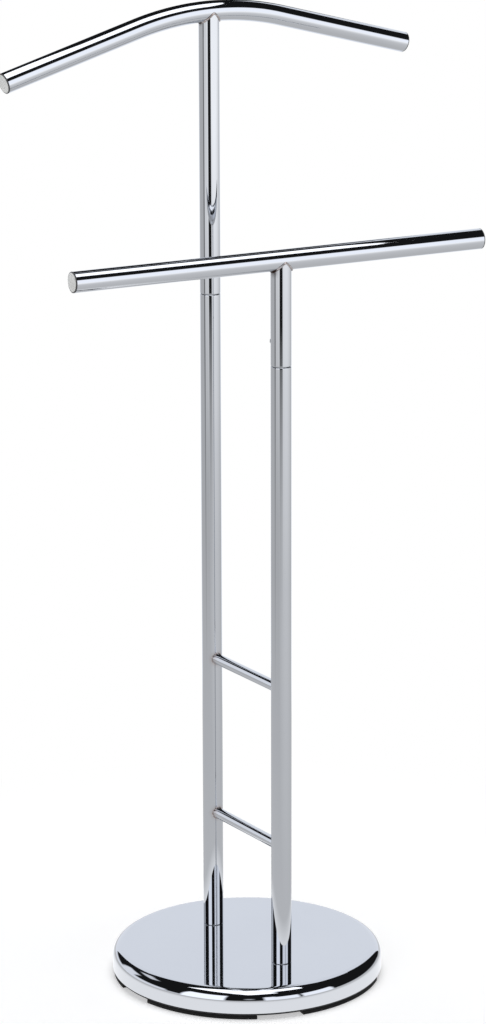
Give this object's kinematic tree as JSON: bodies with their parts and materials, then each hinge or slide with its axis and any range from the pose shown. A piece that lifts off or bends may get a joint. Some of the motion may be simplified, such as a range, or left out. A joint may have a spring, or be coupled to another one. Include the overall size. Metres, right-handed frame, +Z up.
{
  "type": "valet stand",
  "caption": "Free-standing chromed valet stand: weighted round base, tall post with a drooping coat hanger and shorter post with a straight trouser bar, both heads swivel.",
  "frame": {"origin": "on the floor under the middle of the round base", "axes": "+Z up along the posts, +X along the hanger and the trouser bar, +Y from the front post to the rear post"},
  "size_m": [0.5012, 0.296, 1.064],
  "materials": {
    "tube_chrome": "bright chrome plate on drawn steel tube",
    "base_chrome": "bright chrome plate on a pressed steel cover",
    "rung_chrome": "bright chrome plate on steel rod",
    "cap_plastic": "light grey moulded plastic, slightly glossy",
    "black_plastic": "black moulded plastic",
    "pad_rubber": "matt black rubber",
    "plain_steel": "bright zinc-plated or turned steel",
    "cast_ballast": "cast iron, dark primer"
  },
  "bodies": {
    "stand": {"base_cover": "base_chrome", "base_weight": "cast_ballast", "base_plate": "black_plastic", "base_plate_screws": "plain_steel", "foot_pad_1": "pad_rubber", "foot_pad_2": "pad_rubber", "foot_pad_3": "pad_rubber", "foot_pad_4": "pad_rubber", "foot_pad_5": "pad_rubber", "rear_lower_tube": "tube_chrome", "front_lower_tube": "tube_chrome", "upper_rung": "rung_chrome", "lower_rung": "rung_chrome", "rear_foot_plug": "plain_steel", "front_foot_plug": "plain_steel", "rear_post_bolt": "plain_steel", "front_post_bolt": "plain_steel", "rear_post_washer": "plain_steel", "front_post_washer": "plain_steel", "rear_spigot": "plain_steel", "front_spigot": "plain_steel"},
    "hanger_head": {"rear_upper_tube": "tube_chrome", "hanger_bar": "tube_chrome", "hanger_cap_left": "cap_plastic", "hanger_cap_right": "cap_plastic", "rear_bush": "plain_steel"},
    "trouser_head": {"front_upper_tube": "tube_chrome", "trouser_bar": "tube_chrome", "trouser_cap_left": "cap_plastic", "trouser_cap_right": "cap_plastic", "front_bush": "plain_steel"},
    "rear_screw": {"rear_lock_screw": "plain_steel"},
    "front_screw": {"front_lock_screw": "plain_steel"}
  },
  "joints": [
    {"name": "hanger_swivel", "type": "hinge", "parent": "stand", "child": "hanger_head", "pos_m": [0, 0.07, 0.75], "axis": [0, 0, 1], "continuous": true},
    {"name": "trouser_bar_swivel", "type": "hinge", "parent": "stand", "child": "trouser_head", "pos_m": [0, -0.07, 0.698], "axis": [0, 0, 1], "range_deg": [-73, 84]},
    {"name": "rear_lock_screw_turn", "type": "hinge", "parent": "hanger_head", "child": "rear_screw", "pos_m": [0, 0.07, 0.7765], "axis": [0, 1, 0], "range_deg": [-720, 0]},
    {"name": "front_lock_screw_turn", "type": "hinge", "parent": "trouser_head", "child": "front_screw", "pos_m": [0, -0.07, 0.7245], "axis": [-0.766, 0.6428, 0], "range_deg": [-720, 0]}
  ]
}
